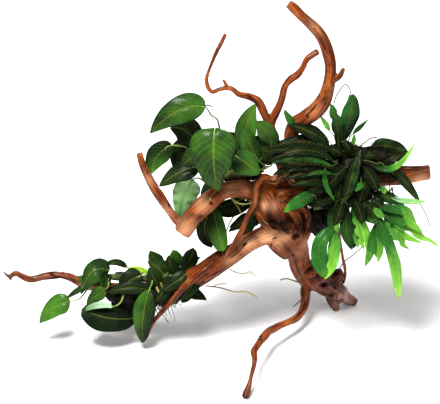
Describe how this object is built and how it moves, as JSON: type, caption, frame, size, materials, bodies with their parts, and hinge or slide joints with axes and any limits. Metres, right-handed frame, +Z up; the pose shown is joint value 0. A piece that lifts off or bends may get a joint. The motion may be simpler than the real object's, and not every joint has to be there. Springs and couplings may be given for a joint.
{
  "type": "planted driftwood",
  "caption": "Branching driftwood with broad-leaved epiphytes on its left limbs and a java fern on its trunk, standing on a leg, a twig and a stub.",
  "frame": {"origin": "middle of the footprint's bounding box, on the surface the driftwood stands on", "axes": "+X to the right along the trunk towards its sawn end, +Y to the back, +Z up"},
  "size_m": [0.5136, 0.216, 0.4308],
  "materials": {
    "driftwood": "wet, smooth-worn red-brown grain with dark cracks",
    "rhizome": "satin brown-green creeping stem; leather stands in for living plant tissue",
    "roots": "matte matted dark brown roots; fabric stands in for fibrous roots",
    "broad_leaf": "glossy leathery green leaf with pale veins; leather stands in for living leaf",
    "fern_leaf": "satin green fern frond; leather stands in for living leaf"
  },
  "bodies": {
    "root": {"arched_limb": "driftwood", "branch_spur": "driftwood", "central_stem": "driftwood", "crossing_root": "driftwood", "crown_stem": "driftwood", "fern_rhizome_lower": "rhizome", "fern_rhizome_upper": "rhizome", "fern_root_mass": "roots", "frond_backspray": "fern_leaf", "frond_leftlong": "fern_leaf", "frond_leftlow": "fern_leaf", "frond_leftmid": "fern_leaf", "frond_low_broad": "fern_leaf", "frond_low_hanging": "fern_leaf", "frond_low_leftpoint": "fern_leaf", "frond_low_longbright": "fern_leaf", "frond_low_tuftleft": "fern_leaf", "frond_low_tuftlobe": "fern_leaf", "frond_low_tuftmid": "fern_leaf", "frond_low_tuftpale": "fern_leaf", "frond_midrib": "fern_leaf", "frond_rightdrop": "fern_leaf", "frond_sickle": "fern_leaf", "frond_twintip": "fern_leaf", "frond_upright": "fern_leaf", "front_leg": "driftwood", "front_twig": "driftwood", "hanging_root": "driftwood", "hooked_branch": "driftwood", "left_limb": "driftwood", "left_tip_branch": "driftwood", "left_twig": "driftwood", "lower_leaf_arched": "broad_leaf", "lower_leaf_hanging": "broad_leaf", "lower_leaf_lowdark": "broad_leaf", "lower_leaf_middark": "broad_leaf", "lower_leaf_outertip": "broad_leaf", "lower_leaf_profile": "broad_leaf", "lower_leaf_spikeleft": "broad_leaf", "lower_leaf_spikemid": "broad_leaf", "lower_leaf_spikeright": "broad_leaf", "lower_rhizome": "rhizome", "lower_root_mass": "roots", "main_trunk": "driftwood", "middle_branch": "driftwood", "rear_leg": "driftwood", "rear_stub": "driftwood", "thick_branch": "driftwood", "upper_leaf_glossy": "broad_leaf", "upper_leaf_heart": "broad_leaf", "upper_leaf_nearhub": "broad_leaf", "upper_leaf_outer": "broad_leaf", "upper_leaf_pale": "broad_leaf", "upper_leaf_shaded": "broad_leaf", "upper_leaf_sidepoint": "broad_leaf", "upper_leaf_twigside": "broad_leaf", "upper_leaf_undershade": "broad_leaf", "upper_leaf_upright": "broad_leaf", "upper_leaf_uprightlow": "broad_leaf", "upper_rhizome": "rhizome"}
  },
  "joints": []
}
